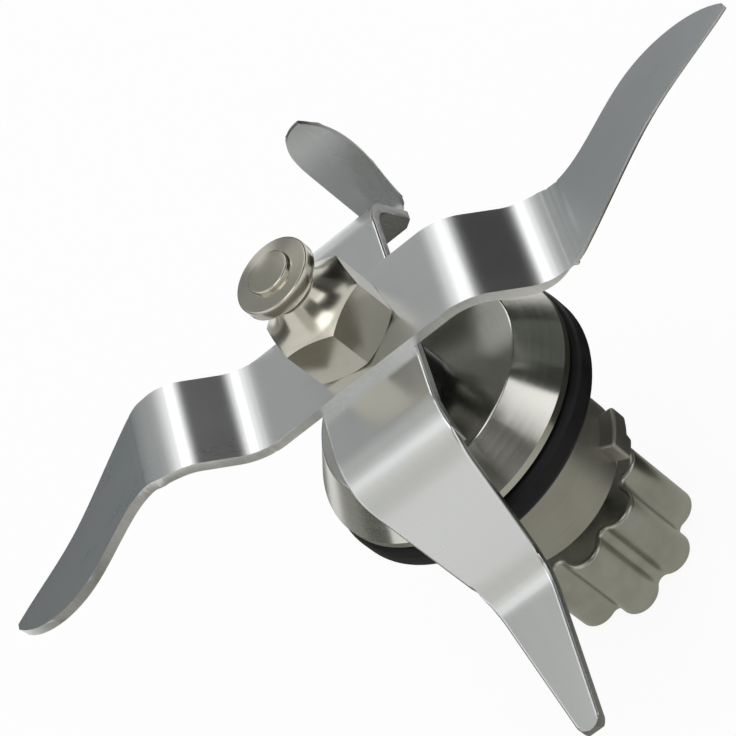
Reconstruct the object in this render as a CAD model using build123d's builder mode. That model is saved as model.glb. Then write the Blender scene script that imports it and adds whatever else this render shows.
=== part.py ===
from build123d import *
import math
import os

os.makedirs("parts", exist_ok=True)

# Blade assembly of a heated blender jug, standing on its drive coupling.
# Millimetres, +Z along the shaft to the cap nut, origin on the axis under the coupling.
# The upper blade lies along X and the lower one along Y.

# Drive coupling
lobe_count = 8
coupling_height = 12.0
lobe_tip_radius = 10.0
lobe_valley_radius = 8.0
lobe_radius = 2.6
coupling_edge_radius = 0.6
screw_pocket_radius = 4.6
screw_pocket_depth = 3.4

# Housing
coupling_gap = 4.5
spigot_radius = 11.0
spigot_length = 11.4
spigot_chamfer = 0.4
ring_flange_radius = 14.3
ring_flange_height = 1.4
ring_groove_root = 13.4
rim_radius = 16.45
rim_height = 0.9
cone_height = 4.45
ridge_radius = 12.95
ridge_fillet = 0.35
top_rise = 0.3
roof_thickness = 1.3
lug_count = 2
lug_reach = 1.9
lug_height = 3.4
lug_angle = 24.0
lug_turn = -28.0
lug_stop_angle = 12.0
lug_relief = 0.8

# Housing ring
ring_height = 3.6
ring_depth = 3.45
ring_edge_radius = 1.1
ring_slack = 0.6

# Shaft and its blade seat
shaft_radius = 3.0
journal_radius = 3.5
flange_radius = 5.2
flange_height = 2.2
blade_seat_radius = 3.0
across_flats = 5.0
thread_length = 7.4

# Seal
neck_radius = 4.1
neck_height = 3.2
seal_height = 4.2
insert_thickness = 0.6
insert_pocket_width = 1.8
spring_radius = 0.45
spring_cover = 0.9

# Bearings
bearing_radius = 9.5
bearing_width = 6.0
ball_count = 7
ball_radius = 1.75
ball_pitch_radius = 6.2
inner_land = 1.75
outer_land = 1.7
cage_thickness = 1.0
cage_floor = 0.45
cage_horn = 1.0
shield_thickness = 0.3
spacer_wall = 1.1
retaining_height = 0.9
retaining_depth = 0.7
retaining_wall = 1.6
retaining_opening = 50.0

# Blades
blade_thickness = 1.2
blade_width = 12.9
blade_clearance = 8.5
fold_radius = 2.9

# Upper blade, from the shaft to the tip of either arm
upper_fold_reach = 13.8
upper_step_reach = 21.9
upper_step_drop = 6.5
upper_tip_reach = 52.3
upper_tip_rise = 10.9
sabre_start = 23.2
sabre_waist_reach = 28.5
sabre_waist = 4.85
sabre_belly_reach = 37.5
sabre_belly = 6.2
sabre_shoulder_reach = 46.8
sabre_shoulder = 3.95
sabre_tip_side = 0.4
sabre_tip_width = 0.8
sabre_edge_reach = 50.0
sabre_edge = 1.35
sabre_back_reach = 39.0
sabre_back = 1.85
sabre_neck_reach = 31.0
sabre_neck = 4.25
ground_edge_start = 24.4
ground_edge_width = 1.7
ground_edge_land = 0.12
ground_edge_overrun = 0.2

# Lower blade, near arm
near_fold_reach = 18.0
near_step_reach = 24.6
near_step_drop = 18.5
near_tip_reach = 41.9
near_tip_drop = 4.9
near_waist = 7.6
near_tip_width = 3.0

# Lower blade, far arm with its upright wing
far_fold_reach = 17.8
wing_reach = 24.9
wing_foot_drop = 11.6
wing_height = 20.1
wing_back_height = 13.4
wing_inner_edge = 1.75
wing_belly = 7.6
wing_belly_height = 9.4
wing_shoulder = 6.9
wing_shoulder_height = 18.0
wing_tip_side = 5.6
wing_taper_start = 4.0
wing_corner_side = 3.9
wing_corner_height = 2.6
wing_fold_radius = 0.7

# Cap nut
nut_across_flats = 10.6
nut_foot_radius = 5.3
nut_foot_chamfer = 0.45
nut_shoulder_height = 6.1
cone_top_height = 9.35
cone_hollow = 0.45
neck_waist_radius = 2.9
bead_height = 1.0
bead_reach = 0.45
knob_radius = 4.6
knob_foot_height = 11.1
knob_face_height = 12.65
knob_edge = 0.2
boss_radius = 2.6
boss_height = 0.65
boss_chamfer = 0.25
nut_bore_depth = 7.9
nut_turn = 42.8

# Screw and washer under the coupling
screw_radius = 2.0
screw_length = 8.0
screw_head_radius = 3.4
screw_head_height = 1.6
washer_radius = 4.2
washer_thickness = 0.8
socket_across_flats = 2.5
socket_depth = 1.0

# Clearances
seat_clearance = 0.02
running_clearance = 0.05
free_clearance = 0.3

# Levels above the foot of the coupling
spigot_level = coupling_height + coupling_gap
flange_level = spigot_level + spigot_length
groove_level = flange_level + ring_flange_height
rim_level = groove_level + ring_height + ring_slack
lip_level = rim_level + rim_height
ridge_level = lip_level + cone_height
roof_level = ridge_level + top_rise
seal_top = ridge_level - roof_thickness
seal_foot = seal_top - seal_height
upper_bearing_level = seal_foot - bearing_width
retaining_level = spigot_level + retaining_height
lower_bearing_level = retaining_level + retaining_height
lower_blade_foot = roof_level + blade_clearance
lower_blade_top = lower_blade_foot + blade_thickness
blade_top = lower_blade_top + blade_thickness
flange_foot = lower_blade_foot - flange_height
washer_level = screw_pocket_depth - washer_thickness
shaft_end = screw_pocket_depth + free_clearance
half_width = blade_width / 2


def double_flat(radius, flats):
    """Disc with two parallel flats, the section that turns the blades with the shaft."""
    with BuildSketch(mode=Mode.PRIVATE) as section:
        Circle(radius)
        Rectangle(2 * radius, flats, mode=Mode.INTERSECT)
    return section.sketch


def ring_sector(inner, outer, start, sweep):
    """Flat sector of a ring, from a start angle in degrees."""
    with BuildSketch(mode=Mode.PRIVATE) as sector:
        with BuildLine():
            rim = CenterArc((0, 0), outer, start, sweep)
            bore = CenterArc((0, 0), inner, start, sweep)
            Line(rim @ 0, bore @ 0)
            Line(rim @ 1, bore @ 1)
        make_face()
    return sector.sketch


def finish(part, label):
    """Name a piece and write it."""
    part.label = label
    export_step(part, f"parts/{label}.step")


def sleeve(label, foot, height, outer, inner):
    """Plain turned sleeve, ring or washer."""
    with BuildPart() as ring:
        with BuildSketch(Plane.XY.offset(foot)):
            Circle(outer)
            Circle(inner, mode=Mode.SUBTRACT)
        extrude(amount=height)
    finish(ring.part, label)


def ball_bearing(prefix, level):
    """Deep groove ball bearing with its foot at the given level, as separate pieces."""
    middle = level + bearing_width / 2
    groove_radius = ball_radius + running_clearance
    inner_ring_radius = shaft_radius + inner_land
    outer_ring_radius = bearing_radius - outer_land
    ball_places = PolarLocations(ball_pitch_radius, ball_count)

    with BuildPart() as inner_ring:
        with BuildSketch(Plane.XZ):
            with Locations(((shaft_radius + inner_ring_radius) / 2, middle)):
                Rectangle(inner_land - seat_clearance, bearing_width)
            with Locations((ball_pitch_radius, middle)):
                Circle(groove_radius, mode=Mode.SUBTRACT)
        revolve(axis=Axis.Z)
    finish(inner_ring.part, f"{prefix}_inner_ring")

    with BuildPart() as outer_ring:
        with BuildSketch(Plane.XZ):
            with Locations(((bearing_radius + outer_ring_radius) / 2, middle)):
                Rectangle(outer_land - seat_clearance, bearing_width)
            with Locations((ball_pitch_radius, middle)):
                Circle(groove_radius, mode=Mode.SUBTRACT)
        revolve(axis=Axis.Z)
    finish(outer_ring.part, f"{prefix}_outer_ring")

    with BuildPart(Plane.XY.offset(middle)) as balls:
        with ball_places:
            Sphere(ball_radius)
    finish(balls.part, f"{prefix}_balls")

    with BuildPart() as cage:
        with BuildSketch(Plane.XY.offset(middle - groove_radius - cage_floor)):
            Circle(ball_pitch_radius + cage_thickness / 2)
            Circle(ball_pitch_radius - cage_thickness / 2, mode=Mode.SUBTRACT)
        extrude(amount=groove_radius + cage_floor + cage_horn)
        with Locations((0, 0, middle)):
            with PolarLocations(ball_pitch_radius, ball_count):
                Sphere(groove_radius, mode=Mode.SUBTRACT)
    finish(cage.part, f"{prefix}_cage")

    shield_inner = inner_ring_radius + running_clearance
    shield_outer = outer_ring_radius - seat_clearance
    shield_inset = free_clearance / 2
    sleeve(f"{prefix}_foot_shield", level + shield_inset, shield_thickness, shield_outer, shield_inner)
    shield_head = level + bearing_width - shield_inset - shield_thickness
    sleeve(f"{prefix}_head_shield", shield_head, shield_thickness, shield_outer, shield_inner)


# Drive coupling, a lobed drum: round lobes joined by round valleys, tangent to each other
lobe_pitch = math.radians(360 / lobe_count)
lobe_centre = lobe_tip_radius - lobe_radius
half_pitch = lobe_pitch / 2
centre_side = lobe_centre * math.sin(half_pitch)
centre_depth = lobe_valley_radius - lobe_centre * math.cos(half_pitch)
valley_radius = (centre_depth**2 + centre_side**2 - lobe_radius**2) / (2 * (lobe_radius - centre_depth))
valley_centre = lobe_valley_radius + valley_radius


def polar(radius, angle):
    """Point at a radius and an angle in radians."""
    return (radius * math.cos(angle), radius * math.sin(angle))


def tangent_point(lobe_angle, valley_angle):
    """Where a lobe's arc runs into a valley's arc."""
    lobe = Vector(*polar(lobe_centre, lobe_angle))
    valley = Vector(*polar(valley_centre, valley_angle))
    return lobe + (valley - lobe).normalized() * lobe_radius


with BuildPart() as drive_coupling:
    with BuildSketch():
        with BuildLine():
            for lobe in range(lobe_count):
                middle_angle = lobe * lobe_pitch
                before = tangent_point(middle_angle, middle_angle - half_pitch)
                after = tangent_point(middle_angle, middle_angle + half_pitch)
                following = tangent_point(middle_angle + lobe_pitch, middle_angle + half_pitch)
                ThreePointArc(before, polar(lobe_tip_radius, middle_angle), after)
                ThreePointArc(after, polar(lobe_valley_radius, middle_angle + half_pitch), following)
        make_face()
    extrude(amount=coupling_height)
    rims = drive_coupling.edges().group_by(Axis.Z)
    fillet(rims[0] + rims[-1], coupling_edge_radius)
    with BuildSketch():
        Circle(screw_pocket_radius)
    extrude(amount=screw_pocket_depth, mode=Mode.SUBTRACT)
    with BuildSketch():
        add(double_flat(shaft_radius + seat_clearance, across_flats + 2 * seat_clearance))
    extrude(amount=coupling_height, mode=Mode.SUBTRACT)
finish(drive_coupling.part, "drive_coupling")

# Bearing housing, turned, with a through bore from below and two bayonet lugs on the spigot
neck_hole_radius = neck_radius + seat_clearance
lug_foot = spigot_level + spigot_chamfer
lug_seat = spigot_radius - spigot_chamfer
lug_rim = spigot_radius + lug_reach
retaining_groove_radius = bearing_radius + retaining_depth
with BuildPart() as housing:
    with BuildSketch(Plane.XZ):
        with BuildLine():
            Polyline(
                (bearing_radius, spigot_level),
                (spigot_radius - spigot_chamfer, spigot_level),
                (spigot_radius, spigot_level + spigot_chamfer),
                (spigot_radius, flange_level),
                (ring_flange_radius, flange_level),
                (ring_flange_radius, groove_level),
                (ring_groove_root, groove_level),
                (ring_groove_root, rim_level),
                (rim_radius, rim_level),
                (rim_radius, lip_level),
                (ridge_radius, ridge_level),
                (neck_hole_radius, roof_level),
                (neck_hole_radius, seal_top),
                (bearing_radius, seal_top),
                close=True,
            )
        make_face()
    revolve(axis=Axis.Z)
    ridge = housing.edges().filter_by(GeomType.CIRCLE).filter_by_position(Axis.Z, ridge_level, ridge_level)
    fillet(ridge, ridge_fillet)
    for lug in range(lug_count):
        lug_start = lug_turn + lug * 360 / lug_count
        with BuildSketch(Plane.XY.offset(lug_foot)):
            add(ring_sector(lug_seat, lug_rim, lug_start, lug_stop_angle))
        extrude(amount=lug_height)
        with BuildSketch(Plane.XY.offset(lug_foot + lug_relief)):
            add(ring_sector(lug_seat, lug_rim, lug_start, lug_angle))
        extrude(amount=lug_height - lug_relief)
    with BuildSketch(Plane.XZ):
        with Locations((bearing_radius + retaining_depth / 2, retaining_level + retaining_height / 2)):
            Rectangle(retaining_depth, retaining_height)
    revolve(axis=Axis.Z, mode=Mode.SUBTRACT)
finish(housing.part, "housing")

# Housing ring, rubber, in the groove under the rim
ring_inner = ring_groove_root + seat_clearance
with BuildPart() as housing_ring:
    with BuildSketch(Plane.XZ):
        with Locations((ring_inner + ring_depth / 2, groove_level + ring_height / 2)):
            RectangleRounded(ring_depth, ring_height, ring_edge_radius)
    revolve(axis=Axis.Z)
finish(housing_ring.part, "housing_ring")

# Shaft, with its journal in the seal, its flange under the blades and its flats
with BuildPart() as shaft:
    with BuildSketch(Plane.XY.offset(shaft_end)):
        Circle(shaft_radius - seat_clearance)
    extrude(amount=upper_bearing_level + bearing_width - shaft_end)
    with BuildSketch(Plane.XY.offset(upper_bearing_level + bearing_width)):
        Circle(journal_radius)
    extrude(amount=flange_foot - upper_bearing_level - bearing_width)
    with BuildSketch(Plane.XY.offset(flange_foot)):
        Circle(flange_radius)
    extrude(amount=flange_height)
    with BuildSketch(Plane.XY.offset(lower_blade_foot)):
        add(double_flat(blade_seat_radius, across_flats))
    extrude(amount=2 * blade_thickness)
    with BuildSketch(Plane.XY.offset(blade_top)):
        Circle(blade_seat_radius - seat_clearance)
    extrude(amount=thread_length)
    with BuildSketch(Plane.XY.offset(shaft_end)):
        Circle(shaft_radius)
        add(double_flat(shaft_radius, across_flats), mode=Mode.SUBTRACT)
    extrude(amount=coupling_height - shaft_end, mode=Mode.SUBTRACT)
    with BuildSketch(Plane.XY.offset(shaft_end)):
        Circle(screw_radius + seat_clearance)
    extrude(amount=screw_length, mode=Mode.SUBTRACT)
finish(shaft.part, "shaft")

# Seal: a rubber body under the housing's roof with the neck that shows round the shaft
lip_radius = journal_radius + running_clearance
spring_centre = lip_radius + spring_cover + spring_radius
spring_level = seal_foot + seal_height / 2
insert_outer = bearing_radius - insert_thickness
insert_level = seal_foot + insert_thickness
insert_middle_radius = insert_outer - insert_thickness / 2 - seat_clearance
with BuildPart() as shaft_seal:
    with BuildSketch(Plane.XZ):
        with BuildLine():
            Polyline(
                (lip_radius, seal_foot + free_clearance),
                (bearing_radius - outer_land, seal_foot + free_clearance),
                (bearing_radius - outer_land, seal_foot),
                (bearing_radius - seat_clearance, seal_foot),
                (bearing_radius - seat_clearance, seal_top),
                (neck_radius, seal_top),
                (neck_radius, roof_level + neck_height),
                (lip_radius, roof_level + neck_height),
                close=True,
            )
        make_face()
    revolve(axis=Axis.Z)
    with BuildSketch(Plane.XY.offset(seal_foot)):
        Circle(insert_outer)
        Circle(insert_outer - insert_pocket_width, mode=Mode.SUBTRACT)
    extrude(amount=seal_height - 2 * insert_thickness, mode=Mode.SUBTRACT)
    with BuildSketch(Plane.XZ):
        with Locations((spring_centre, spring_level)):
            Circle(spring_radius + seat_clearance)
    revolve(axis=Axis.Z, mode=Mode.SUBTRACT)
finish(shaft_seal.part, "shaft_seal")

with BuildPart() as seal_insert:
    with BuildSketch(Plane.XZ):
        with Locations((insert_middle_radius, insert_level + seal_height / 4)):
            Rectangle(insert_thickness, seal_height / 2)
    revolve(axis=Axis.Z)
finish(seal_insert.part, "seal_insert")

with BuildPart() as seal_spring:
    with BuildSketch(Plane.XZ):
        with Locations((spring_centre, spring_level)):
            Circle(spring_radius)
    revolve(axis=Axis.Z)
finish(seal_spring.part, "seal_spring")

# Bearings, spacers and retaining ring
ball_bearing("upper_bearing", upper_bearing_level)
ball_bearing("lower_bearing", lower_bearing_level)
spacer_foot = lower_bearing_level + bearing_width
spacer_height = upper_bearing_level - spacer_foot
inner_bore = shaft_radius + seat_clearance
sleeve("inner_spacer", spacer_foot, spacer_height, inner_bore + spacer_wall, inner_bore)
outer_seat = bearing_radius - seat_clearance
sleeve("outer_spacer", spacer_foot, spacer_height, outer_seat, outer_seat - spacer_wall)
coupling_reach = lower_bearing_level - coupling_height
sleeve("coupling_spacer", coupling_height, coupling_reach, inner_bore + spacer_wall, inner_bore)

retaining_rim = retaining_groove_radius - seat_clearance
with BuildPart() as retaining_ring:
    with BuildSketch(Plane.XY.offset(retaining_level)):
        Circle(retaining_rim)
        Circle(retaining_rim - retaining_wall, mode=Mode.SUBTRACT)
        opening = ring_sector(shaft_radius, spigot_radius, -retaining_opening / 2, retaining_opening)
        add(opening, mode=Mode.SUBTRACT)
    extrude(amount=retaining_height)
finish(retaining_ring.part, "retaining_ring")

# Washer and screw that hold the coupling on the shaft
sleeve("coupling_washer", washer_level, washer_thickness, washer_radius, screw_radius + seat_clearance)

# Upper blade: one strip folded down and up on one arm, up and down on the other
outer_fold = fold_radius + blade_thickness
tip_level = upper_tip_rise - upper_step_drop
arm_run = upper_tip_reach - upper_step_reach
arm_lean = arm_run / math.hypot(arm_run, upper_tip_rise)
hollow_edge = [
    (upper_tip_reach, sabre_tip_side + sabre_tip_width),
    (sabre_edge_reach, sabre_edge),
    (sabre_back_reach, sabre_back),
    (sabre_neck_reach, sabre_neck),
]
wheel_path = [*hollow_edge, (ground_edge_start, half_width)]


def along_arm(reach):
    """Distance along a sloping arm from its fold, for a distance from the shaft."""
    return (reach - upper_step_reach) / arm_lean


upper_folds = [
    (-upper_tip_reach, -tip_level),
    (-upper_step_reach, upper_step_drop),
    (-upper_fold_reach, 0),
    (upper_fold_reach, 0),
    (upper_step_reach, -upper_step_drop),
    (upper_tip_reach, tip_level),
]
with BuildPart() as upper_blade:
    with BuildSketch(Plane.XZ.shift_origin((0, 0, blade_top))):
        with BuildLine():
            FilletPolyline(*upper_folds, radius=[outer_fold, fold_radius] * 2)
            offset(amount=blade_thickness, side=Side.RIGHT)
        make_face()
    extrude(amount=half_width, both=True)
    with BuildSketch(Plane.XY.offset(blade_top - 2 * upper_step_drop)):
        with BuildLine():
            for side in (1, -1):
                Line((-side * sabre_start, side * half_width), (side * sabre_start, side * half_width))
                belly = Spline(
                    (side * sabre_start, side * half_width),
                    (side * sabre_waist_reach, side * sabre_waist),
                    (side * sabre_belly_reach, side * sabre_belly),
                    (side * sabre_shoulder_reach, side * sabre_shoulder),
                    (side * upper_tip_reach, -side * sabre_tip_side),
                )
                hollow = [(side * reach, -side * depth) for reach, depth in hollow_edge]
                Line(belly @ 1, hollow[0])
                Spline(*hollow, (side * sabre_start, -side * half_width))
        make_face()
    extrude(amount=4 * upper_step_drop, dir=(0, 0, 1), mode=Mode.INTERSECT)
    # The hollow edge of either arm is ground from below to a cutting edge
    for side in (1, -1):
        fold_point = Vector(side * upper_step_reach, 0, blade_top - side * upper_step_drop)
        along = Vector(side * arm_run, 0, side * upper_tip_rise).normalized()
        arm_normal = Vector(-upper_tip_rise, 0, arm_run).normalized()
        arm_plane = Plane(fold_point - arm_normal * ground_edge_land, x_dir=along, z_dir=arm_normal)
        with BuildSketch(arm_plane):
            with BuildLine():
                ground = [(along_arm(reach), -depth - ground_edge_overrun) for reach, depth in wheel_path]
                edge = Spline(*ground)
                outside = Vector(0, -half_width)
                Polyline(edge @ 1, edge @ 1 + outside, edge @ 0 + outside, edge @ 0)
            make_face()
        grind = Vector(0, side * ground_edge_width, 0) - arm_normal * blade_thickness
        extrude(amount=blade_width, dir=grind, mode=Mode.SUBTRACT)
    with BuildSketch(Plane.XY.offset(lower_blade_top)):
        add(double_flat(blade_seat_radius + seat_clearance, across_flats + 2 * seat_clearance))
    extrude(amount=blade_thickness, mode=Mode.SUBTRACT)
finish(upper_blade.part, "upper_blade")

# Lower blade: the near arm steps down and narrows, the far arm drops to an upright wing
near_step_level = -near_step_drop
near_tip_level = near_step_level - near_tip_drop
lower_folds = [
    (-near_tip_reach, near_tip_level),
    (-near_step_reach, near_step_level),
    (-near_fold_reach, 0),
    (far_fold_reach, 0),
    (wing_reach, -wing_foot_drop),
    (wing_reach, -wing_foot_drop + wing_taper_start),
]
lower_radii = [fold_radius, outer_fold, outer_fold, wing_fold_radius]
wing_foot_level = lower_blade_top - wing_foot_drop
with BuildPart() as lower_blade:
    with BuildSketch(Plane.YZ.shift_origin((0, 0, lower_blade_top))):
        with BuildLine():
            FilletPolyline(*lower_folds, radius=lower_radii)
            offset(amount=blade_thickness, side=Side.RIGHT)
        make_face()
    extrude(amount=half_width, both=True)
    # Near arm, seen from its end: it narrows on its way down
    with BuildSketch(Plane.XZ.offset(near_fold_reach)):
        with BuildLine():
            Polyline(
                (half_width, lower_blade_top - blade_thickness),
                (near_waist / 2, lower_blade_top - near_step_drop),
                (near_waist / 2, lower_blade_top - 2 * near_step_drop),
                (blade_width, lower_blade_top - 2 * near_step_drop),
                (blade_width, lower_blade_top - blade_thickness),
                close=True,
            )
        make_face()
        mirror(about=Plane.YZ)
    extrude(amount=near_tip_reach, dir=(0, -1, 0), mode=Mode.SUBTRACT)
    # Near arm, seen from above: the tip narrows to a round end
    with BuildSketch(Plane.XY.offset(lower_blade_top)):
        with BuildLine():
            near_end = CenterArc((0, near_tip_width / 2 - near_tip_reach), near_tip_width / 2, -90, 90)
            Polyline(
                near_end @ 1,
                (near_waist / 2, -near_step_reach),
                (blade_width, -near_step_reach),
                (blade_width, -near_tip_reach - blade_width),
                (0, -near_tip_reach - blade_width),
                near_end @ 0,
            )
        make_face()
        mirror(about=Plane.YZ)
    extrude(amount=2 * near_step_drop, dir=(0, 0, -1), mode=Mode.SUBTRACT)
    # Far arm, seen from its end: the wing stands on one side of it
    with BuildSketch(Plane.XZ.offset(-far_fold_reach)):
        with BuildLine():
            Polyline(
                (-blade_width, lower_blade_top - wing_taper_start),
                (-half_width, lower_blade_top - wing_taper_start),
                (wing_inner_edge, wing_foot_level),
                (wing_inner_edge, wing_foot_level - wing_foot_drop),
                (-blade_width, wing_foot_level - wing_foot_drop),
                close=True,
            )
        make_face()
    extrude(amount=wing_reach, dir=(0, 1, 0), mode=Mode.SUBTRACT)
    with BuildSketch(Plane.XZ.offset(-wing_reach)):
        with BuildLine():
            belly_line = Spline(
                (half_width, wing_foot_level + wing_taper_start / 2),
                (wing_belly, wing_foot_level + wing_belly_height),
                (wing_shoulder, wing_foot_level + wing_shoulder_height),
                (wing_tip_side, wing_foot_level + wing_height),
            )
            back_line = Spline(
                belly_line @ 1,
                (wing_inner_edge, wing_foot_level + wing_back_height),
                tangents=((-1, 0), (0, -1)),
            )
            Polyline(
                back_line @ 1,
                (wing_inner_edge, wing_foot_level + wing_taper_start / 2),
                belly_line @ 0,
            )
        make_face()
    extrude(amount=blade_thickness, dir=(0, 1, 0))
    # The corner of the strip is cut off where it folds into the wing
    with BuildSketch(Plane.XZ.offset(-far_fold_reach)):
        with BuildLine():
            Polyline(
                (half_width, wing_foot_level + wing_corner_height),
                (wing_corner_side, wing_foot_level),
                (wing_corner_side, wing_foot_level - wing_foot_drop),
                (blade_width, wing_foot_level - wing_foot_drop),
                (blade_width, wing_foot_level + wing_corner_height),
                close=True,
            )
        make_face()
    extrude(amount=wing_reach, dir=(0, 1, 0), mode=Mode.SUBTRACT)
    with BuildSketch(Plane.XY.offset(lower_blade_foot)):
        add(double_flat(blade_seat_radius + seat_clearance, across_flats + 2 * seat_clearance))
    extrude(amount=blade_thickness, mode=Mode.SUBTRACT)
finish(lower_blade.part, "lower_blade")

# Cap nut: a turned body with a knob, cut to a hexagon round its foot
corner_radius = nut_across_flats / math.sqrt(3)
bead_foot = cone_top_height + bead_reach / 2
with BuildPart() as cap_nut:
    with BuildSketch(Plane.XZ.shift_origin((0, 0, blade_top))):
        with BuildLine():
            Polyline(
                (0, 0),
                (nut_foot_radius, 0),
                (corner_radius, nut_foot_chamfer),
                (corner_radius, nut_shoulder_height),
            )
            cone = SagittaArc(
                (corner_radius, nut_shoulder_height),
                (neck_waist_radius, cone_top_height),
                cone_hollow,
            )
            Line(cone @ 1, (neck_waist_radius, bead_foot))
            bead = ThreePointArc(
                (neck_waist_radius, bead_foot),
                (neck_waist_radius + bead_reach, bead_foot + bead_height / 2),
                (neck_waist_radius, bead_foot + bead_height),
            )
            Polyline(
                bead @ 1,
                (knob_radius, knob_foot_height),
                (knob_radius, knob_face_height),
                (boss_radius, knob_face_height),
                (boss_radius, knob_face_height + boss_height),
                (0, knob_face_height + boss_height),
                (0, 0),
            )
        make_face()
    revolve(axis=Axis.Z)
    knob_rims = cap_nut.edges().filter_by(GeomType.CIRCLE)
    outer_rims = knob_rims.filter_by(lambda rim: abs(rim.radius - knob_radius) < seat_clearance)
    fillet(outer_rims, knob_edge)
    boss_rim = cap_nut.edges().filter_by(GeomType.CIRCLE).sort_by(Axis.Z)[-1]
    chamfer(boss_rim, boss_chamfer)
    with BuildSketch(Plane.XY.offset(blade_top)):
        RegularPolygon(nut_across_flats / 2, 6, major_radius=False, rotation=nut_turn)
    extrude(amount=knob_face_height + boss_height, mode=Mode.INTERSECT)
    with BuildSketch(Plane.XY.offset(blade_top)):
        Circle(blade_seat_radius)
    extrude(amount=nut_bore_depth, mode=Mode.SUBTRACT)
finish(cap_nut.part, "cap_nut")

# Screw under the coupling
with BuildPart() as coupling_screw:
    with BuildSketch(Plane.XY.offset(washer_level)):
        Circle(screw_head_radius)
    extrude(amount=-screw_head_height)
    fillet(coupling_screw.edges().group_by(Axis.Z)[0], knob_edge)
    with BuildSketch(Plane.XY.offset(washer_level)):
        Circle(screw_radius)
    extrude(amount=screw_length)
    with BuildSketch(Plane.XY.offset(washer_level - screw_head_height)):
        RegularPolygon(socket_across_flats / 2, 6, major_radius=False)
    extrude(amount=socket_depth, mode=Mode.SUBTRACT)
finish(coupling_screw.part, "coupling_screw")
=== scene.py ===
import math

import bmesh
import bpy
import numpy as np
from mathutils import Matrix, Vector


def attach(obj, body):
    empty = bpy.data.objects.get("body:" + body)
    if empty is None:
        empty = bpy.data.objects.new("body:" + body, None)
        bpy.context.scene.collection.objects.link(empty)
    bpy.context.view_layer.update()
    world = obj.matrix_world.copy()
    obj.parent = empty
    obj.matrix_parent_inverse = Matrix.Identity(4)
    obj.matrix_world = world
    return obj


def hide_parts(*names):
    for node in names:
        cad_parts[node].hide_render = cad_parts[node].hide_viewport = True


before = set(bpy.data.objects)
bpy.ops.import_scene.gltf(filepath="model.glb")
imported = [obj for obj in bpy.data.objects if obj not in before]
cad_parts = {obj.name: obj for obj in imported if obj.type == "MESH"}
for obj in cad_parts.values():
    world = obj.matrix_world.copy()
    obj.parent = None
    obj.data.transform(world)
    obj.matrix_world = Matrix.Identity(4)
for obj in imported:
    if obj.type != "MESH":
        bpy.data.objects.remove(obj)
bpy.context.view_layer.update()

# Bearing housing. Turned from stainless bar: a steep cone above the rim, a groove for the rubber
# ring and a spigot with two bayonet lugs that lock into the foot of the jug. The lathe leaves fine
# marks round it, and the rims of the lugs are rounded.
housing_rim_width = 0.00012
spigot_top = 0.0288
lug_foot_radius = 0.0112
lug_top = 0.0225
lug_rim_width = 0.0005
merge_distance = 1e-6
flat_enough = 0.15
sharp_rim = 28


def bare_copy(node):
    """Shape of a solid from the frame with its doubles merged and its flat faces joined."""
    shape = bmesh.new()
    shape.from_mesh(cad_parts[node].data)
    bmesh.ops.remove_doubles(shape, verts=shape.verts, dist=merge_distance)
    bmesh.ops.dissolve_limit(
        shape, angle_limit=math.radians(flat_enough), verts=shape.verts, edges=shape.edges
    )
    return shape


def roll_rims(shape, rims, width, segments=3, clamped=True):
    """Roll some rims of a shape over to a round."""
    bmesh.ops.bevel(
        shape,
        geom=rims,
        offset=width,
        affect="EDGES",
        segments=segments,
        profile=0.5,
        material=-1,
        clamp_overlap=clamped,
    )
    shape.normal_update()


def rims_over(shape, angle):
    """Rims of a shape that are sharper than an angle in degrees."""
    return [
        edge
        for edge in shape.edges
        if edge.is_manifold and edge.calc_face_angle() > math.radians(angle)
    ]


def round_rims(shape, width, sharpest=sharp_rim):
    """Round every rim that is sharper than an angle in degrees, by the width asked or less.

    The clamp holds all rims of a piece to what its shortest one leaves room for. That is under
    0.01 mm on the housing, the blades and the screw, and 0.02 to 0.03 mm on the shaft and the nut.
    """
    roll_rims(shape, rims_over(shape, sharpest), width)


def rounded_copy(node, rim_width):
    """Bare copy with its sharp rims rounded."""
    shape = bare_copy(node)
    round_rims(shape, rim_width)
    return shape


def show_piece(shape, name, node, body, slot, *finishes):
    """Put a finished shape in the scene in place of its solid from the frame."""
    mesh = bpy.data.meshes.new(name)
    for face in shape.faces:
        face.smooth = True
    shape.to_mesh(mesh)
    shape.free()
    if "custom_normal" in mesh.attributes:
        mesh.attributes.remove(mesh.attributes["custom_normal"])
    for finish in finishes:
        mesh.materials.append(finish)
    piece = bpy.data.objects.new(name, mesh)
    bpy.context.scene.collection.objects.link(piece)
    piece.modifiers.new("flat_face_normals", "WEIGHTED_NORMAL")
    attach(piece, body)
    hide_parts(node)
    return piece


def open_marks(name):
    """Shader group of surface marks: a place and a fineness go in, a height and a tone come out."""
    marks = bpy.data.node_groups.new(name, "ShaderNodeTree")
    marks.interface.new_socket("Place", in_out="INPUT", socket_type="NodeSocketVector")
    marks.interface.new_socket("Fineness", in_out="INPUT", socket_type="NodeSocketFloat")
    marks.interface.new_socket("Height", in_out="OUTPUT", socket_type="NodeSocketFloat")
    marks.interface.new_socket("Tone", in_out="OUTPUT", socket_type="NodeSocketFloat")
    given = marks.nodes.new("NodeGroupInput")
    made = marks.nodes.new("NodeGroupOutput")
    return marks, marks.nodes, marks.links, given, made


def noise_of(nodes, links, place, scale, detail, roughness=0.5):
    """Socket that carries noise at a place, with a scale that is a number or a socket."""
    noise = nodes.new("ShaderNodeTexNoise")
    noise.inputs["Detail"].default_value = detail
    noise.inputs["Roughness"].default_value = roughness
    links.new(place, noise.inputs["Vector"])
    if isinstance(scale, bpy.types.NodeSocket):
        links.new(scale, noise.inputs["Scale"])
    else:
        noise.inputs["Scale"].default_value = scale
    return noise.outputs["Fac"]


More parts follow.
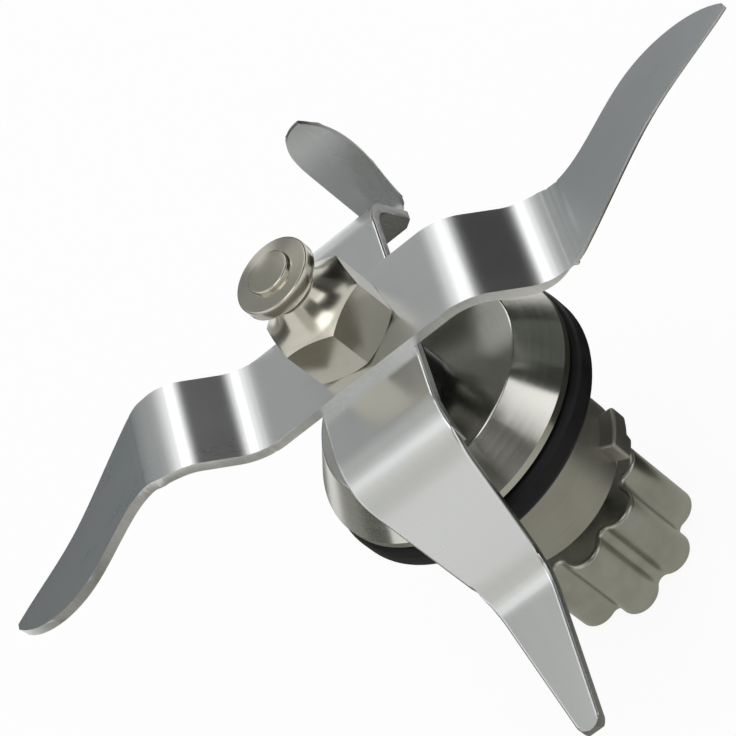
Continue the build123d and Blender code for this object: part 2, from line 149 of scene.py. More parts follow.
def sum_of(nodes, links, broad, broad_share, fine, fine_share):
    """Socket that carries a broad and a fine mask added by their shares."""
    fine_part = nodes.new("ShaderNodeMath")
    fine_part.operation = "MULTIPLY"
    fine_part.inputs[1].default_value = fine_share
    links.new(fine, fine_part.inputs[0])
    whole = nodes.new("ShaderNodeMath")
    whole.operation = "MULTIPLY_ADD"
    whole.inputs[1].default_value = broad_share
    links.new(broad, whole.inputs[0])
    links.new(fine_part.outputs[0], whole.inputs[2])
    return whole.outputs[0]


def range_of(nodes, links, source, low, high):
    """Socket that carries noise stretched between two values."""
    stretch = nodes.new("ShaderNodeMapRange")
    stretch.inputs["From Min"].default_value = 0.3
    stretch.inputs["From Max"].default_value = 0.7
    stretch.inputs["To Min"].default_value = low
    stretch.inputs["To Max"].default_value = high
    links.new(source, stretch.inputs["Value"])
    return stretch.outputs["Result"]


def colours_of(nodes, links, source, dark, light):
    """Socket that carries a colour between a dark and a light one."""
    mix = nodes.new("ShaderNodeMix")
    mix.data_type = "RGBA"
    mix.inputs["A"].default_value = (*dark, 1)
    mix.inputs["B"].default_value = (*light, 1)
    links.new(range_of(nodes, links, source, 0, 1), mix.inputs["Factor"])
    return mix.outputs["Result"]


def marked_finish(name, marks, fineness, dark, light, smooth, rough, depth, stretch=(1, 1, 1)):
    """Material whose colour, roughness and relief follow its marks, with the depth in metres."""
    finish = bpy.data.materials.new(name)
    finish.use_nodes = True
    nodes, links = finish.node_tree.nodes, finish.node_tree.links
    shader = nodes["Principled BSDF"]
    place = nodes.new("ShaderNodeTexCoord")
    lay = nodes.new("ShaderNodeMapping")
    lay.inputs["Scale"].default_value = stretch
    links.new(place.outputs["Object"], lay.inputs["Vector"])
    surface = nodes.new("ShaderNodeGroup")
    surface.node_tree = marks
    surface.inputs["Fineness"].default_value = fineness
    links.new(lay.outputs["Vector"], surface.inputs["Place"])
    tone = surface.outputs["Tone"]
    links.new(colours_of(nodes, links, tone, dark, light), shader.inputs["Base Color"])
    links.new(range_of(nodes, links, tone, smooth, rough), shader.inputs["Roughness"])
    relief = nodes.new("ShaderNodeBump")
    relief.inputs["Strength"].default_value = 1.0
    relief.inputs["Distance"].default_value = depth
    links.new(surface.outputs["Height"], relief.inputs["Height"])
    links.new(relief.outputs["Normal"], shader.inputs["Normal"])
    return finish, nodes, links, shader


def build_turning_marks():
    """Rings that a lathe leaves, by the distance from the axis and the place along it."""
    marks, nodes, links, given, made = open_marks("turning_marks")
    parts = nodes.new("ShaderNodeSeparateXYZ")
    links.new(given.outputs["Place"], parts.inputs[0])
    flat = nodes.new("ShaderNodeCombineXYZ")
    links.new(parts.outputs["X"], flat.inputs["X"])
    links.new(parts.outputs["Y"], flat.inputs["Y"])
    radius = nodes.new("ShaderNodeVectorMath")
    radius.operation = "LENGTH"
    links.new(flat.outputs[0], radius.inputs[0])
    ring_place = nodes.new("ShaderNodeCombineXYZ")
    links.new(radius.outputs["Value"], ring_place.inputs["X"])
    links.new(parts.outputs["Z"], ring_place.inputs["Y"])
    rings = noise_of(nodes, links, ring_place.outputs[0], given.outputs["Fineness"], 3.0, 0.6)
    patches = noise_of(nodes, links, given.outputs["Place"], 160.0, 2.0)
    links.new(rings, made.inputs["Height"])
    links.new(sum_of(nodes, links, patches, 0.6, rings, 0.4), made.inputs["Tone"])
    return marks


turning_marks = build_turning_marks()


def turned_steel(name, fineness, dark, light, smooth, rough, depth, pull):
    """Steel off the lathe: ring marks, and highlights that are pulled out across them."""
    finish, nodes, links, shader = marked_finish(
        name, turning_marks, fineness, dark, light, smooth, rough, depth
    )
    shader.inputs["Metallic"].default_value = 1.0
    shader.inputs["Anisotropic"].default_value = pull
    shader.inputs["Anisotropic Rotation"].default_value = 0.25
    tangent = nodes.new("ShaderNodeTangent")
    tangent.direction_type = "RADIAL"
    tangent.axis = "Z"
    links.new(tangent.outputs["Tangent"], shader.inputs["Tangent"])
    return finish


housing_steel = turned_steel(
    "housing_steel",
    fineness=2600,
    dark=(0.56, 0.555, 0.51),
    light=(0.66, 0.655, 0.61),
    smooth=0.15,
    rough=0.21,
    depth=0.0000015,
    pull=0.75,
)
spigot_steel = turned_steel(
    "spigot_steel",
    fineness=3400,
    dark=(0.36, 0.35, 0.31),
    light=(0.46, 0.45, 0.40),
    smooth=0.42,
    rough=0.52,
    depth=0.000006,
    pull=0.3,
)
housing_shape = bare_copy("housing")
lug_rims = [
    edge
    for edge in rims_over(housing_shape, sharp_rim)
    if max(vert.co.z for vert in edge.verts) < lug_top
    and sum(vert.co.xy.length for vert in edge.verts) / 2 > lug_foot_radius
]
roll_rims(housing_shape, lug_rims, lug_rim_width, segments=4)
round_rims(housing_shape, housing_rim_width)
for face in housing_shape.faces:
    if face.calc_center_median().z < spigot_top:
        face.material_index = 1
show_piece(
    housing_shape,
    "turned_housing",
    "housing",
    "housing_group",
    "turned_steel",
    housing_steel,
    spigot_steel,
)

# Housing ring. A moulded black rubber ring that sits in the groove under the rim and seals the
# jug's opening. Its skin is satin, with a very fine grain from the mould.
ring_rim_width = 0.00005
rubber_grain = 5200.0
rubber_grain_depth = 0.000004


def build_mould_grain():
    """Fine grain that a mould leaves in rubber, with a faint dust over it."""
    marks, nodes, links, given, made = open_marks("mould_grain")
    grain = noise_of(nodes, links, given.outputs["Place"], given.outputs["Fineness"], 4.0)
    dust = noise_of(nodes, links, given.outputs["Place"], 420.0, 3.0)
    links.new(grain, made.inputs["Height"])
    links.new(dust, made.inputs["Tone"])
    return marks


mould_grain = build_mould_grain()


def moulded_rubber(name, dark, light, smooth, rough):
    """Black rubber with the fine grain of its mould."""
    finish, nodes, links, shader = marked_finish(
        name, mould_grain, rubber_grain, dark, light, smooth, rough, rubber_grain_depth
    )
    shader.inputs["Specular IOR Level"].default_value = 0.2
    return finish


ring_rubber = moulded_rubber(
    "ring_rubber", dark=(0.005, 0.005, 0.006), light=(0.009, 0.009, 0.010), smooth=0.42, rough=0.54
)
show_piece(
    rounded_copy("housing_ring", ring_rim_width),
    "moulded_housing_ring",
    "housing_ring",
    "housing_group",
    "black_rubber",
    ring_rubber,
)

# Shaft seal. A rubber body pressed in under the housing's roof, with a collar that shows round the
# shaft. A steel insert stiffens it and a garter spring holds its lip to the shaft.
seal_rim_width = 0.0001
seal_rubber = moulded_rubber(
    "seal_rubber", dark=(0.008, 0.008, 0.009), light=(0.014, 0.014, 0.015), smooth=0.22, rough=0.34
)
show_piece(
    rounded_copy("shaft_seal", seal_rim_width),
    "moulded_shaft_seal",
    "shaft_seal",
    "housing_group",
    "black_rubber",
    seal_rubber,
)

# Bearings, spacers and retaining ring. Hardened and ground rings with polished balls, pressed steel
# cages and shields, plain turned sleeves, and a spring steel ring that holds the stack in the bore.
bearing_steel = turned_steel(
    "bearing_steel",
    fineness=4200,
    dark=(0.62, 0.62, 0.61),
    light=(0.72, 0.72, 0.71),
    smooth=0.1,
    rough=0.18,
    depth=0.000001,
    pull=0.4,
)
spring_steel = turned_steel(
    "spring_steel",
    fineness=2400,
    dark=(0.26, 0.25, 0.24),
    light=(0.34, 0.33, 0.32),
    smooth=0.28,
    rough=0.4,
    depth=0.000003,
    pull=0.2,
)
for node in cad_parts:
    if node.startswith(("upper_bearing", "lower_bearing")) or node.endswith("spacer"):
        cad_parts[node].data.materials[0] = bearing_steel
for node in ("retaining_ring", "seal_insert", "seal_spring"):
    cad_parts[node].data.materials[0] = spring_steel

# Shaft. Ground stainless bar with a flange under the blades, flats that turn the blades and the
# coupling, and a threaded end under the cap nut.
shaft_rim_width = 0.0001
shaft_steel = turned_steel(
    "shaft_steel",
    fineness=3000,
    dark=(0.5, 0.5, 0.48),
    light=(0.62, 0.62, 0.6),
    smooth=0.16,
    rough=0.26,
    depth=0.000002,
    pull=0.4,
)
show_piece(
    rounded_copy("shaft", shaft_rim_width), "ground_shaft", "shaft", "rotor", "bearing_steel", shaft_steel
)

# Lower blade. One stamped and folded stainless strip: the near arm steps steeply down and narrows
# to a round tip, the far arm drops to an upright wing ground thinner behind. The faces are satin
# from tumbling, the top rims are rolled by the press, and the cut edge keeps its coarse marks. Its
# colour is painted dark, a painted shade that draws a dark outline round the blade.
blade_rim_width = 0.00016
flush = 0.00002

# Top line of the strip in millimetres, along y and up from the blade's top, and its bends
lower_folds = [(-41.9, -23.4), (-24.6, -18.5), (-18.0, 0.0), (17.8, 0.0), (24.9, -11.6), (24.9, 8.5)]
lower_pressed_radii = [2.9, 4.1, 4.1, 0.7]
lower_eased_radii = [5.6, 7.0, 6.4, 0.7]
lower_blade_top = 48.85
fold_cuts = 16
fold_cut_step = 0.3
fold_merge = 0.0001
line_step = 0.05

wing_foot = 0.0395
wing_start = 0.0242
wing_back = 0.0261
wing_ground_foot = 0.0398
wing_ground_width = 0.0006
wing_ground_run = 0.0035
rolled_rim_width = 0.00035
rolled_rim_angle = 60
rolled_rim_end = 0.016
near_tip = -0.038
near_waist = -0.0236
near_waist_overlap = 0.001


def build_tumbled_grain():
    """Faint brushed lines along a strip, with soft patches left by tumbling."""
    marks, nodes, links, given, made = open_marks("tumbled_grain")
    lines = noise_of(nodes, links, given.outputs["Place"], given.outputs["Fineness"], 2.0)
    patches = noise_of(nodes, links, given.outputs["Place"], 90.0, 3.0)
    links.new(lines, made.inputs["Height"])
    links.new(sum_of(nodes, links, patches, 0.8, lines, 0.2), made.inputs["Tone"])
    return marks


tumbled_grain = build_tumbled_grain()


def blade_steel(name, stretch, fineness, dark, light, smooth, rough, depth):
    """Stainless strip with grain lines along one axis, by the stretch given for each axis."""
    finish, nodes, links, shader = marked_finish(
        name, tumbled_grain, fineness, dark, light, smooth, rough, depth, stretch
    )
    shader.inputs["Metallic"].default_value = 1.0
    return finish


def line_places(folds):
    """Places in millimetres along a folded strip's top line, from one end to the other."""
    whole = sum(math.dist(before, after) for before, after in zip(folds, folds[1:]))
    return np.arange(0, whole, line_step)


def folded_line(folds, radii):
    """Points and headings along a folded strip's top line, with its corners rounded."""
    corners = [np.array(fold) for fold in folds]
    runs = [after - before for before, after in zip(corners, corners[1:])]
    lengths = [np.linalg.norm(run) for run in runs]
    headings = [run / length for run, length in zip(runs, lengths)]
    starts = np.concatenate(([0.0], np.cumsum(lengths)))
    points, directions = [], []
    for place in line_places(folds):
        leg = min(int(np.searchsorted(starts, place, side="right")) - 1, len(runs) - 1)
        point = corners[leg] + headings[leg] * (place - starts[leg])
        direction = headings[leg]
        for corner in (leg, leg + 1):
            if not 0 < corner < len(runs):
                continue
            before, after = headings[corner - 1], headings[corner]
            turn = math.atan2(before[0] * after[1] - before[1] * after[0], before @ after)
            reach = radii[corner - 1] * math.tan(abs(turn) / 2)
            share = (place - starts[corner] + reach) / (2 * reach)
            if 0 <= share <= 1:
                side = math.copysign(1, turn)
                inward = np.array((-before[1], before[0])) * side
                centre = corners[corner] - before * reach + inward * radii[corner - 1]
                swing = turn * share
                spin = np.array(((math.cos(swing), -math.sin(swing)), (math.sin(swing), math.cos(swing))))
                point = centre - spin @ inward * radii[corner - 1]
                direction = spin @ before
        points.append(point)
        directions.append(direction)
    return np.array(points), np.array(directions)


def ease_folds(shape, axis, folds, top, pressed_radii, eased_radii):
    """Cut a strip across at its folds and lay it along the same line with wider bends."""
    across = Vector((1, 0, 0)) if axis == 0 else Vector((0, 1, 0))
    for place, _ in folds[1:-1]:
        for step in range(-fold_cuts, fold_cuts + 1):
            bmesh.ops.bisect_plane(
                shape,
                geom=shape.verts[:] + shape.edges[:] + shape.faces[:],
                dist=flush,
                plane_co=across * (place + step * fold_cut_step) / 1000,
                plane_no=across,
            )
    bmesh.ops.remove_doubles(shape, verts=shape.verts, dist=fold_merge)
    old_points, old_headings = folded_line(folds, pressed_radii)
    new_points, new_headings = folded_line(folds, eased_radii)
    for vert in shape.verts:
        spot = np.array((vert.co[axis] * 1000, vert.co.z * 1000 - top))
        near = int(np.argmin(((old_points - spot) ** 2).sum(axis=1)))
        away = spot - old_points[near]
        forward = away @ old_headings[near]
        upward = away @ np.array((-old_headings[near][1], old_headings[near][0]))
        lift = np.array((-new_headings[near][1], new_headings[near][0]))
        spot = new_points[near] + new_headings[near] * forward + lift * upward
        vert.co[axis] = spot[0] / 1000
        vert.co.z = (spot[1] + top) / 1000


lower_face_steel = blade_steel(
    "lower_face_steel",
    stretch=(1, 0.1, 0.1),
    fineness=2200,
    dark=(0.69, 0.7, 0.7),
    light=(0.73, 0.74, 0.74),
    smooth=0.26,
    rough=0.31,
    depth=0.0000001,
)
# Cut edge painted dark: a painted shade that gives the blade a dark outline, not the steel's own colour.
lower_edge_painted_shade_steel = blade_steel(
    "lower_edge_painted_shade_steel",
    stretch=(1, 1, 0.25),
    fineness=2400,
    dark=(0.14, 0.14, 0.135),
    light=(0.34, 0.34, 0.33),
    smooth=0.3,
    rough=0.45,
    depth=0.00004,
)
lower_shape = bare_copy("lower_blade")

# The wing's back is ground thinner towards its top
wing_backs = [
    face
    for face in lower_shape.faces
    if face.normal.y > 0.99 and abs(face.calc_center_median().y - wing_back) < flush
]
bmesh.ops.inset_region(lower_shape, faces=wing_backs, thickness=wing_ground_width, use_boundary=True)
wing_rim = [
    vert
    for vert in lower_shape.verts
    if abs(vert.co.y - wing_back) < flush
    and vert.co.z > wing_ground_foot
    and min(abs(face.normal.y) for face in vert.link_faces) < 0.5
]
for vert in wing_rim:
    vert.co.y -= wing_ground_width * min(1, (vert.co.z - wing_foot) / wing_ground_run)
lower_shape.normal_update()
ease_folds(lower_shape, 1, lower_folds, lower_blade_top, lower_pressed_radii, lower_eased_radii)

# The top rims are rolled over, and the near arm keeps the width that it has before that
rolled_rims = [
    edge
    for edge in rims_over(lower_shape, rolled_rim_angle)
    if max(abs(face.normal.x) for face in edge.link_faces) > 0.8
    and max(face.normal.z for face in edge.link_faces) > 0.25
    and max(vert.co.y for vert in edge.verts) < rolled_rim_end
]
near_walls = sorted(
    (vert.co.y, abs(vert.co.x))
    for vert in lower_shape.verts
    if vert.co.y < near_waist + near_waist_overlap
)
wall_places = [place for place, _ in near_walls]
wall_halves = [half for _, half in near_walls]
roll_rims(lower_shape, rolled_rims, rolled_rim_width, segments=4, clamped=False)
for vert in lower_shape.verts:
    if vert.co.y < near_waist:
        widest = float(np.interp(vert.co.y, wall_places, wall_halves))
        vert.co.x = math.copysign(min(abs(vert.co.x), widest), vert.co.x)
lower_shape.normal_update()
round_rims(lower_shape, blade_rim_width)
for vert in lower_shape.verts:
    vert.co.y = min(vert.co.y, wing_back)
# Side, wing and tip walls take the cut edge's painted shade.
for face in lower_shape.faces:
    middle = face.calc_center_median()
    side_wall = abs(face.normal.x) > 0.88
    wing_wall = middle.y > wing_start and middle.z > wing_foot and abs(face.normal.y) < 0.5
    tip_wall = middle.y < near_tip and abs(face.normal.z) < 0.5
    if side_wall or wing_wall or tip_wall:
        face.material_index = 1
show_piece(
    lower_shape,
    "folded_lower_blade",
    "lower_blade",
    "rotor",
    "blade_steel",
    lower_face_steel,
    lower_edge_painted_shade_steel,
)

# Upper blade. The same stainless strip, folded down and up on one arm and up and down on the other,
# with two sabre tips. The hollow edge of each tip is ground to a cutting edge from below, and the
# wheel runs out short of the fold. The cut edge is painted lighter than steel, a painted highlight
# along its band.
sabre_start = 0.0232
sabre_end = 0.045
sabre_ease = 0.002
sabre_turn = 0.45
blade_half_width = 0.00645
sabre_rim = blade_half_width - 0.0009
hollow_rim = blade_half_width - 0.0006
wheel_start = 0.0185
wheel_end = 0.0244
wheel_margin = 0.001
wheel_overlap = 0.0006
wheel_share = 0.78
wheel_width = 0.00135
lower_rim_drop = 0.8
upper_merge = 0.00012
ground_face_area = 1e-7

# Top line of the strip in millimetres, along x and up from the blade's top, and its bends
upper_folds = [(-52.3, -4.4), (-21.9, 6.5), (-13.8, 0.0), (13.8, 0.0), (21.9, -6.5), (52.3, 4.4)]
upper_pressed_radii = [4.1, 2.9, 4.1, 2.9]
upper_eased_radii = [7.2, 7.0, 8.0, 6.6]
upper_blade_top = 50.05

upper_face_steel = blade_steel(
    "upper_face_steel",
    stretch=(0.1, 1, 0.1),
    fineness=2200,
    dark=(0.69, 0.7, 0.7),
    light=(0.73, 0.74, 0.74),
    smooth=0.26,
    rough=0.31,
    depth=0.0000001,
)
# Cut edge painted lighter than steel: a painted highlight along the band.
upper_edge_painted_highlight_steel = blade_steel(
    "upper_edge_painted_highlight_steel",
    stretch=(1, 1, 0.25),
    fineness=2400,
    dark=(0.66, 0.67, 0.67),
    light=(0.98, 0.98, 0.98),
    smooth=0.3,
    rough=0.45,
    depth=0.00004,
)
ground_edge_steel = blade_steel(
    "ground_edge_steel",
    stretch=(1, 0.08, 0.08),
    fineness=3200,
    dark=(0.6, 0.6, 0.6),
    light=(0.78, 0.78, 0.78),
    smooth=0.12,
    rough=0.2,
    depth=0.000004,
)
upper_shape = bare_copy("upper_blade")
ease_folds(upper_shape, 0, upper_folds, upper_blade_top, upper_pressed_radii, upper_eased_radii)
for side in (1, -1):
    run_out = [
        face
        for face in upper_shape.faces
        if face.normal.z < -0.3
        and wheel_start - wheel_margin < side * face.calc_center_median().x < wheel_end + wheel_margin
    ]
    run_out_edges = list({edge for face in run_out for edge in face.edges})
    run_out_verts = list({vert for face in run_out for vert in face.verts})
    bmesh.ops.bisect_plane(
        upper_shape,
        geom=run_out_verts + run_out_edges + run_out,
        dist=flush,
        plane_co=(0, -side * (blade_half_width - wheel_width), 0),
        plane_no=(0, 1, 0),
    )
strip_line = folded_line(upper_folds, upper_eased_radii)[0]
for vert in upper_shape.verts:
    on_hollow_side = vert.co.x * vert.co.y < 0 and abs(vert.co.y) > hollow_rim
    if on_hollow_side and wheel_start < abs(vert.co.x) < wheel_end + wheel_overlap:
        run = min(1, (abs(vert.co.x) - wheel_start) / (wheel_end - wheel_start))
        spot = np.array((vert.co.x * 1000, vert.co.z * 1000 - upper_blade_top))
        above = strip_line[int(np.argmin(((strip_line - spot) ** 2).sum(axis=1)))]
        if np.linalg.norm(spot - above) > lower_rim_drop:
            spot = above + (spot - above) * (1 - wheel_share * run * run * (3 - 2 * run))
            vert.co.x, vert.co.z = spot[0] / 1000, (spot[1] + upper_blade_top) / 1000
    off = abs(abs(vert.co.x) - sabre_start)
    if off < sabre_ease and abs(vert.co.y) > sabre_rim:
        vert.co.y -= math.copysign(sabre_turn * (sabre_ease - off) ** 2 / (4 * sabre_ease), vert.co.y)
bmesh.ops.remove_doubles(upper_shape, verts=upper_shape.verts, dist=upper_merge)
round_rims(upper_shape, blade_rim_width)
# Side and end walls take the cut edge's painted highlight; faces leaning under the tips take the ground
# edge.
for face in upper_shape.faces:
    end_wall = abs(face.calc_center_median().x) > sabre_end and abs(face.normal.z) < 0.5
    leans_under = abs(face.normal.y) > 0.4 and face.normal.z < -0.6
    if abs(face.normal.y) > 0.7 or end_wall:
        face.material_index = 1
    elif leans_under and face.calc_area() > ground_face_area:
        face.material_index = 2
show_piece(
    upper_shape,
    "folded_upper_blade",
    "upper_blade",
    "rotor",
    "blade_steel",
    upper_face_steel,
    upper_edge_painted_highlight_steel,
    ground_edge_steel,
)

# Cap nut. One turned piece with a nickel-like polish: a hexagon, a hollow cone, a neck with a bead
# and a round knob with a raised boss. It clamps both blades on the shaft's flange.
nut_foot = 0.05005
nut_across_flats = 0.0106
nut_first_flat = 12.8
nut_rim_width = 0.00012
nut_rim_angle = 24
knob_rim_width = 0.00022
nut_merge = 0.00003
turning_steps = 96

# The nut's outline in millimetres, out from its axis and up from its foot
nut_foot_radius = 5.3
nut_corner_radius = 6.12
nut_foot_chamfer = 0.45
nut_bore_radius = 2.98
nut_bore_depth = 7.9
knob_radius = 4.6
knob_bottom = 11.1
knob_top = 12.65
boss_radius = 2.6
boss_top = 13.3
nut_foot_outline = [
    (nut_bore_radius, 0.0),
    (nut_foot_radius, 0.0),
    (nut_corner_radius, nut_foot_chamfer),
]
hollow_cone = [(6.12, 6.1), (5.27, 6.55), (4.53, 7.1), (3.88, 7.75), (3.34, 8.5), (2.9, 9.35)]
neck_bead = [(2.9, 9.58), (3.2, 9.72), (3.35, 10.08), (3.2, 10.43), (2.9, 10.58)]
knob_outline = [
    (knob_radius, knob_bottom),
    (knob_radius, knob_top),
    (boss_radius, knob_top),
    (boss_radius, boss_top),
    (0.0, boss_top),
    (0.0, nut_bore_depth),
    (nut_bore_radius, nut_bore_depth),
]

nut_steel = turned_steel(
    "nut_steel",
    fineness=2200,
    dark=(0.51, 0.49, 0.415),
    light=(0.59, 0.57, 0.49),
    smooth=0.18,
    rough=0.25,
    depth=0.0000015,
    pull=0.0,
)
nut_shape = bmesh.new()
nut_corners = [
    nut_shape.verts.new((radius / 1000, 0, nut_foot + height / 1000))
    for radius, height in nut_foot_outline + hollow_cone + neck_bead + knob_outline
]
for near, far in zip(nut_corners, nut_corners[1:] + nut_corners[:1]):
    nut_shape.edges.new((near, far))
knob_corners = nut_corners[-len(knob_outline) :]
knob_rims = [knob_corners[0], knob_corners[1], knob_corners[3]]
bmesh.ops.bevel(
    nut_shape,
    geom=knob_rims,
    offset=knob_rim_width,
    affect="VERTICES",
    segments=3,
    profile=0.5,
    material=-1,
)
bmesh.ops.spin(
    nut_shape,
    geom=nut_shape.verts[:] + nut_shape.edges[:],
    cent=(0, 0, 0),
    axis=(0, 0, 1),
    angle=math.tau,
    steps=turning_steps,
    use_merge=True,
)
bmesh.ops.remove_doubles(nut_shape, verts=nut_shape.verts, dist=merge_distance)
bmesh.ops.recalc_face_normals(nut_shape, faces=nut_shape.faces)
for side in range(6):
    turn = math.radians(nut_first_flat + side * 60)
    outward = Vector((math.cos(turn), math.sin(turn), 0))
    sawn = bmesh.ops.bisect_plane(
        nut_shape,
        geom=nut_shape.verts[:] + nut_shape.edges[:] + nut_shape.faces[:],
        dist=1e-7,
        plane_co=outward * nut_across_flats / 2,
        plane_no=outward,
        clear_outer=True,
    )
    saw_line = [part for part in sawn["geom_cut"] if isinstance(part, bmesh.types.BMEdge)]
    bmesh.ops.edgeloop_fill(nut_shape, edges=saw_line)
bmesh.ops.recalc_face_normals(nut_shape, faces=nut_shape.faces)
bmesh.ops.remove_doubles(nut_shape, verts=nut_shape.verts, dist=nut_merge)
round_rims(nut_shape, nut_rim_width, nut_rim_angle)
show_piece(nut_shape, "polished_cap_nut", "cap_nut", "rotor", "nut_steel", nut_steel)

# Drive coupling. A lobed drum of pressed and sintered steel that drops into the motor's socket. Its
# skin is matte, with the fine pores of sintered powder.
coupling_rim_width = 0.00004


def build_powder_pores():
    """Pores of sintered powder, with slow changes of tone."""
    marks, nodes, links, given, made = open_marks("powder_pores")
    pores = noise_of(nodes, links, given.outputs["Place"], given.outputs["Fineness"], 3.0)
    clouds = noise_of(nodes, links, given.outputs["Place"], 320.0, 5.0)
    links.new(pores, made.inputs["Height"])
    links.new(clouds, made.inputs["Tone"])
    return marks


coupling_steel, _, _, coupling_shader = marked_finish(
    "coupling_steel",
    build_powder_pores(),
    fineness=4600,
    dark=(0.35, 0.345, 0.31),
    light=(0.44, 0.435, 0.39),
    smooth=0.27,
    rough=0.36,
    depth=0.000006,
)
coupling_shader.inputs["Metallic"].default_value = 1.0
show_piece(
    rounded_copy("drive_coupling", coupling_rim_width),
    "sintered_coupling",
    "drive_coupling",
    "rotor",
    "sintered_steel",
    coupling_steel,
)

# Washer and screw under the coupling. Zinc-plated steel: they hold the coupling on the shaft's
# flats from below, and are seen only with the part turned over.
plated_rim_width = 0.00008
plated_steel = turned_steel(
    "plated_steel",
    fineness=3000,
    dark=(0.58, 0.58, 0.56),
    light=(0.7, 0.7, 0.67),
    smooth=0.22,
    rough=0.32,
    depth=0.000003,
    pull=0.4,
)
for node, name in (("coupling_washer", "plated_washer"), ("coupling_screw", "plated_screw")):
    show_piece(rounded_copy(node, plated_rim_width), name, node, "rotor", "bearing_steel", plated_steel)

# Floor. Plain pale card under the part, white to the camera and to the metal. It keeps the part's
# own shadow.
floor_size = 6.0
floor_level = -0.0001
floor_white = (0.95, 0.95, 0.95, 1)
floor_glow_share = 0.91


def seen_directly(nodes, links):
    """Socket that is 1 for rays from the camera, from polished metal and through glass."""
    path = nodes.new("ShaderNodeLightPath")
    either = nodes.new("ShaderNodeMath")
    either.operation = "MAXIMUM"
    links.new(path.outputs["Is Camera Ray"], either.inputs[0])
    links.new(path.outputs["Is Glossy Ray"], either.inputs[1])
    any_ray = nodes.new("ShaderNodeMath")
    any_ray.operation = "MAXIMUM"
    links.new(either.outputs[0], any_ray.inputs[0])
    links.new(path.outputs["Is Transmission Ray"], any_ray.inputs[1])
    return any_ray.outputs[0]


floor_shape = bmesh.new()
bmesh.ops.create_grid(floor_shape, x_segments=1, y_segments=1, size=floor_size / 2)
bmesh.ops.translate(floor_shape, verts=floor_shape.verts, vec=(0, 0, floor_level))
floor_mesh = bpy.data.meshes.new("floor")
floor_shape.to_mesh(floor_mesh)
floor_shape.free()
floor = bpy.data.objects.new("floor", floor_mesh)
bpy.context.scene.collection.objects.link(floor)
floor_card = bpy.data.materials.new("floor_card")
floor_card.use_nodes = True
floor_nodes, floor_links = floor_card.node_tree.nodes, floor_card.node_tree.links
floor_skin = floor_nodes["Principled BSDF"]
floor_skin.inputs["Base Color"].default_value = floor_white
floor_skin.inputs["Roughness"].default_value = 0.9
floor_skin.inputs["Specular IOR Level"].default_value = 0.0
floor_glow = floor_nodes.new("ShaderNodeEmission")
floor_mix = floor_nodes.new("ShaderNodeMixShader")
floor_share = floor_nodes.new("ShaderNodeMath")
floor_share.operation = "MULTIPLY"
floor_share.inputs[1].default_value = floor_glow_share
floor_links.new(seen_directly(floor_nodes, floor_links), floor_share.inputs[0])
floor_links.new(floor_share.outputs[0], floor_mix.inputs["Fac"])
floor_links.new(floor_skin.outputs[0], floor_mix.inputs[1])
floor_links.new(floor_glow.outputs[0], floor_mix.inputs[2])
floor_links.new(floor_mix.outputs[0], floor_nodes["Material Output"].inputs["Surface"])
floor_mesh.materials.append(floor_card)

# Studio. White surroundings, soft boxes and dark or grey cards that only the metal mirrors. Each
# stands round the hub at an azimuth and an elevation, and spans an angle each way.
hub = Vector((0, 0, 0.035))
card_distance = 1.2
table_card_gap = 0.00005
surround = bpy.data.worlds.new("surround")
bpy.context.scene.world = surround
surround.use_nodes = True
sky_nodes, sky_links = surround.node_tree.nodes, surround.node_tree.links
sky_level = sky_nodes.new("ShaderNodeMapRange")
sky_level.inputs["To Min"].default_value = 0.8
sky_level.inputs["To Max"].default_value = 1.0
sky_links.new(seen_directly(sky_nodes, sky_links), sky_level.inputs["Value"])
sky_nodes["Background"].inputs["Color"].default_value = (1, 1, 1, 1)
sky_links.new(sky_level.outputs["Result"], sky_nodes["Background"].inputs["Strength"])


def stand(azimuth, elevation):
    """Place round the hub, turned to face it."""
    turn, lift = math.radians(azimuth), math.radians(elevation)
    outward = Vector((math.cos(turn) * math.cos(lift), math.sin(turn) * math.cos(lift), math.sin(lift)))
    facing = outward.to_track_quat("Z", "Y").to_matrix().to_4x4()
    return Matrix.Translation(hub + outward * card_distance) @ facing


def span(angle):
    """Width that spans an angle at the cards' distance."""
    return 2 * card_distance * math.tan(math.radians(angle) / 2)


def soft_box(name, azimuth, elevation, wide, high, level):
    """Area lamp that looks as bright as the level given."""
    lamp = bpy.data.lights.new(name, "AREA")
    lamp.shape = "RECTANGLE"
    lamp.size, lamp.size_y = span(wide), span(high)
    lamp.energy = level * math.pi * lamp.size * lamp.size_y
    box = bpy.data.objects.new(name, lamp)
    box.matrix_world = stand(azimuth, elevation)
    box.visible_camera = False
    bpy.context.scene.collection.objects.link(box)


def lay_card(shape, name, tone):
    """Put a card in the scene, seen by mirrored rays alone."""
    mesh = bpy.data.meshes.new(name)
    shape.to_mesh(mesh)
    shape.free()
    paper = bpy.data.materials.new(name)
    paper.use_nodes = True
    nodes = paper.node_tree.nodes
    nodes.remove(nodes["Principled BSDF"])
    glow = nodes.new("ShaderNodeEmission")
    glow.inputs["Color"].default_value = (*tone, 1)
    paper.node_tree.links.new(glow.outputs[0], nodes["Material Output"].inputs["Surface"])
    mesh.materials.append(paper)
    sheet = bpy.data.objects.new(name, mesh)
    sheet.visible_camera = False
    sheet.visible_diffuse = False
    sheet.visible_shadow = False
    bpy.context.scene.collection.objects.link(sheet)


def card(name, azimuth, elevation, wide, high, tone):
    """Card of one even tone that stands round the hub."""
    shape = bmesh.new()
    bmesh.ops.create_grid(shape, x_segments=1, y_segments=1, size=0.5)
    bmesh.ops.scale(shape, verts=shape.verts, vec=(span(wide), span(high), 1))
    bmesh.ops.transform(shape, verts=shape.verts, matrix=stand(azimuth, elevation))
    lay_card(shape, name, tone)


def table_card(layer, name, east, north, radius, tone):
    """Round card of one even tone on the table, over the cards of the layers below it."""
    shape = bmesh.new()
    bmesh.ops.create_circle(shape, cap_ends=True, segments=48, radius=radius)
    bmesh.ops.translate(shape, verts=shape.verts, vec=(east, north, layer * table_card_gap))
    lay_card(shape, name, tone)


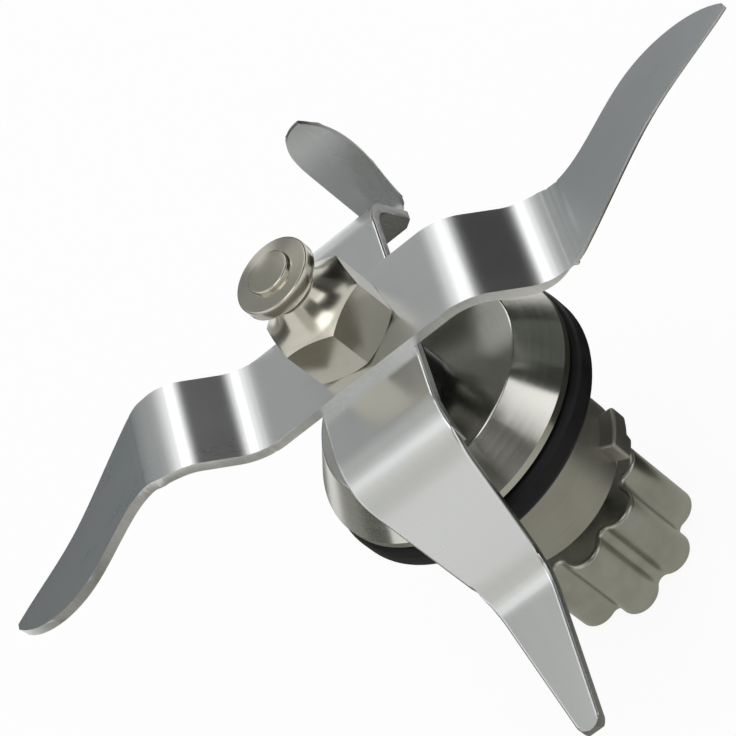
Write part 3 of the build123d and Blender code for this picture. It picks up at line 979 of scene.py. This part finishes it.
# Azimuth, elevation, width and height in degrees, then how bright
soft_box("back_box", 71.5, 44, 15, 15, 1.8)
soft_box("right_box", -28, 29.5, 38, 7.5, 1.0)
soft_box("front_box", -76, 62, 30, 22, 1.4)
for step, fade in enumerate((1.25, 1.2, 1.1, 0.96, 0.82, 0.68, 0.55, 0.44)):
    card(f"fade_card_{step}", 80.5 + step * 3.2, 43, 3.3, 26, (fade, fade, fade * 0.99))
card("hub_card", 118, 42, 29, 32, (0.35, 0.36, 0.355))
card("tip_card_high", 132, 20, 34, 12, (0.17, 0.192, 0.197))
card("tip_card_low", 135, 4, 36, 21, (0.09, 0.103, 0.107))
card("black_card_1", 82, 9, 46, 47, (0.015, 0.015, 0.014))
card("black_card_2", 52, 18, 18, 64, (0.015, 0.015, 0.014))
card("grey_card", 26, 13, 36, 54, (0.1, 0.108, 0.098))
card("black_card_3", 0, 14, 18, 60, (0.045, 0.048, 0.045))
card("shade_card", -22, 46.5, 50, 27, (0.03, 0.03, 0.025))
card("front_card", -69, 32, 42, 30, (0.13, 0.13, 0.117))
card("near_card", -112, 24, 30, 70, (0.64, 0.64, 0.6))
card("overhead_card", 150, 70, 40, 22, (0.42, 0.43, 0.41))
card("side_card", 168, 2, 38, 36, (0.11, 0.115, 0.1))

# Places east and north of the hub and radius in metres, then how bright
table_card(0, "table_left", -0.5, 0.1, 0.36, (0.3, 0.305, 0.28))
table_card(1, "table_far", -0.01, -0.045, 0.12, (0.2, 0.195, 0.165))
table_card(2, "table_near", -0.002, -0.025, 0.045, (0.52, 0.52, 0.47))
table_card(3, "table_dark", 0.068, 0.022, 0.055, (0.03, 0.029, 0.022))
table_card(4, "table_back", -0.015, 0.045, 0.024, (0.06, 0.06, 0.055))

# Camera. A long lens at the photograph's angle, with the film turned round its axis.
camera_place = Vector((0.09592, -0.23064, 0.23871))
camera_azimuth = -67.0787
camera_elevation = 37.7322
camera_roll = -52.3244
camera_data = bpy.data.cameras.new("camera")
camera_data.lens = 146.7
camera_data.sensor_width = 36.0
camera_data.clip_start = 0.01
camera = bpy.data.objects.new("camera", camera_data)
round_part = Matrix.Rotation(math.radians(camera_azimuth + 90), 4, "Z")
tilt_down = Matrix.Rotation(math.radians(90 - camera_elevation), 4, "X")
film_turn = Matrix.Rotation(math.radians(camera_roll), 4, "Z")
camera.matrix_world = Matrix.Translation(camera_place) @ round_part @ tilt_down @ film_turn
bpy.context.scene.collection.objects.link(camera)
bpy.context.scene.camera = camera
bpy.context.scene.view_settings.view_transform = "Standard"
